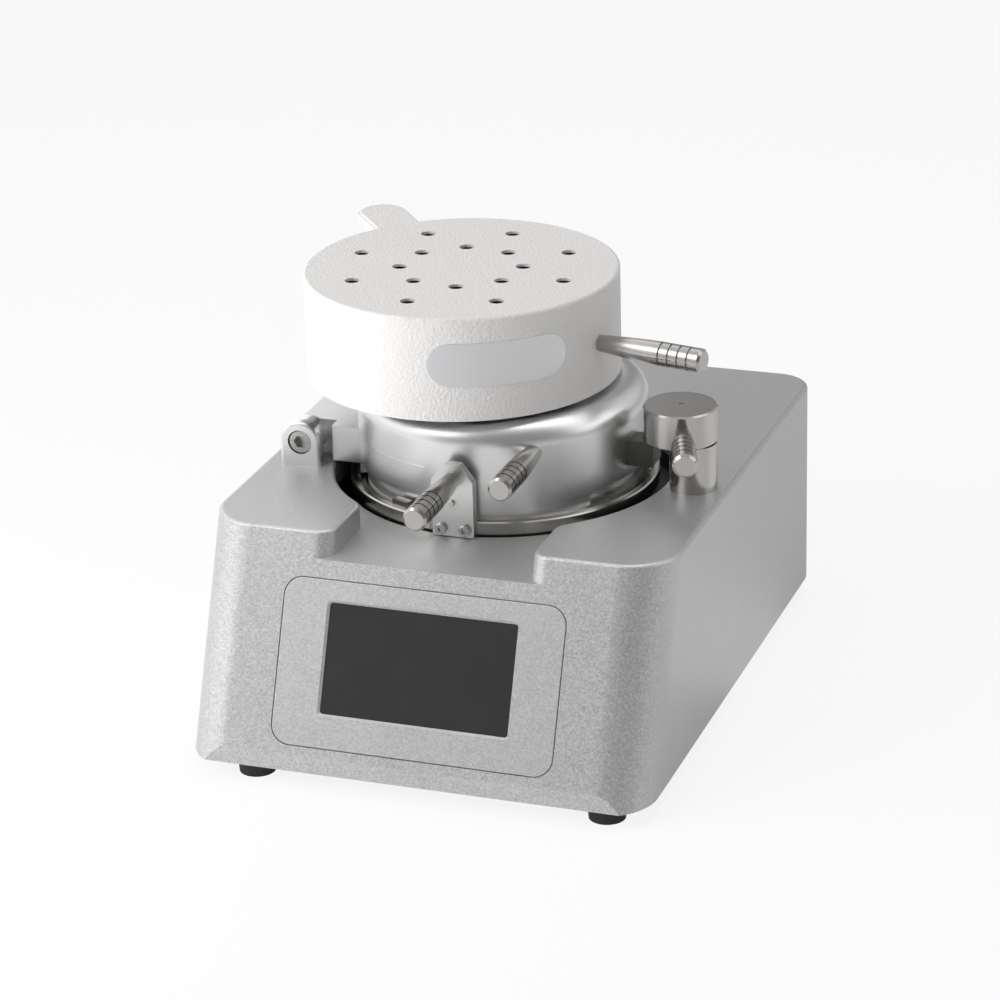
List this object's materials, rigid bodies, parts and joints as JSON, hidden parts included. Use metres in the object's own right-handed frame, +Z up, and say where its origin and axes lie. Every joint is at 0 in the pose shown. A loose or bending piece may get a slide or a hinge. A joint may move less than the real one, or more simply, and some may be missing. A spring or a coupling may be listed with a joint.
{
  "type": "dental pressure former",
  "caption": "Benchtop machine that softens a plastic foil under a swing-over heater and presses it with air over a dental model inside a latched round chamber.",
  "frame": {"origin": "on the table, under the middle of the casing's footprint", "axes": "+X right seen from the display, +Y to the back, +Z up"},
  "size_m": [0.25, 0.33, 0.229],
  "materials": {
    "casing": "silver grey, fine speckle",
    "plate_steel": "plain sheet",
    "rubber": "matt",
    "fastener": "plain",
    "load_aluminium": "milled",
    "tray_black": "matt black",
    "table": "turned",
    "cup": "turned",
    "seal": "silicone",
    "bezel": "silver grey, fine speckle",
    "screen": "black glass",
    "module": "plain",
    "bracket": "satin anodised",
    "arm_metal": "satin anodised",
    "bush": "plain",
    "chamber": "satin turned",
    "catch": "dark grey",
    "ring": "polished",
    "handle": "turned",
    "latch": "turned",
    "heater_white": "white powder coat",
    "heater_label": "bare",
    "reflector": "bright",
    "element": "heat darkened",
    "insulation": "mineral fibre",
    "guard": "bright wire",
    "service": "matt black",
    "inlet_black": "plain",
    "rocker_black": "plain",
    "brass_fitting": "plain",
    "supply": "plain",
    "board": "green board",
    "valve": "plain",
    "regulator": "plain",
    "hose": "blue tube"
  },
  "bodies": {
    "base": {"base_cover": "casing", "base_plate": "plate_steel", "rubber_feet": "rubber", "base_screws": "fastener", "load_plate": "load_aluminium", "load_pillars": "load_aluminium", "load_spacers": "load_aluminium", "load_bolts": "fastener", "pit_tray": "tray_black", "press_table": "table", "model_cup": "cup", "table_seal": "seal", "display_bezel": "bezel", "display_glass": "screen", "display_module": "module", "hinge_brackets": "bracket", "hinge_pin": "fastener", "hinge_nut": "fastener", "lock_post": "latch", "heater_column": "latch", "rear_panel": "service", "rear_panel_screws": "fastener", "power_inlet": "inlet_black", "switch_housing": "inlet_black", "air_inlet_fitting": "brass_fitting", "exhaust_silencer": "brass_fitting", "power_supply": "supply", "control_board": "board", "board_standoffs": "brass_fitting", "solenoid_valves": "valve", "pressure_regulator": "regulator", "air_hoses": "hose"},
    "chamber": {"chamber_pot": "chamber", "hinge_arm": "arm_metal", "hinge_bushes": "bush", "hinge_block": "arm_metal", "arm_screws": "fastener", "catch_block": "catch", "foil_gasket": "seal", "chamber_handle": "handle"},
    "ring": {"clamp_ring": "ring", "handle_plates": "bracket", "plate_screws": "fastener", "stop_pin": "fastener", "ring_handle": "handle"},
    "latch": {"lock_cap": "latch", "lock_lever": "handle", "lock_spindle": "fastener", "lock_nut": "fastener"},
    "heater": {"heater_arm": "heater_white", "arm_cover": "heater_white", "heater_housing": "heater_white", "heater_handle": "handle", "heater_reflector": "reflector", "heating_element": "element", "heater_guard": "guard", "heater_label": "heater_label", "heater_insulation": "insulation"},
    "rocker": {"switch_rocker": "rocker_black"}
  },
  "joints": [
    {"name": "chamber_hinge", "type": "hinge", "parent": "base", "child": "chamber", "pos_m": [-0.1039, 0.006, 0.1382], "axis": [0, -1, 0], "range_deg": [0, 0.9]},
    {"name": "ring_turn", "type": "hinge", "parent": "chamber", "child": "ring", "pos_m": [-0.0045, 0.006, 0.115], "axis": [0, 0, 1], "range_deg": [-22, 0]},
    {"name": "latch_turn", "type": "hinge", "parent": "base", "child": "latch", "pos_m": [0.106, -0.012, 0.16], "axis": [0, 0, 1], "range_deg": [0, 100]},
    {"name": "heater_swing", "type": "hinge", "parent": "base", "child": "heater", "pos_m": [-0.111, 0.1105, 0.2118], "axis": [0, 0, 1], "range_deg": [-79.4, 95]},
    {"name": "switch_press", "type": "hinge", "parent": "base", "child": "rocker", "pos_m": [-0.012, 0.138, 0.055], "axis": [1, 0, 0], "range_deg": [0, 14]}
  ]
}
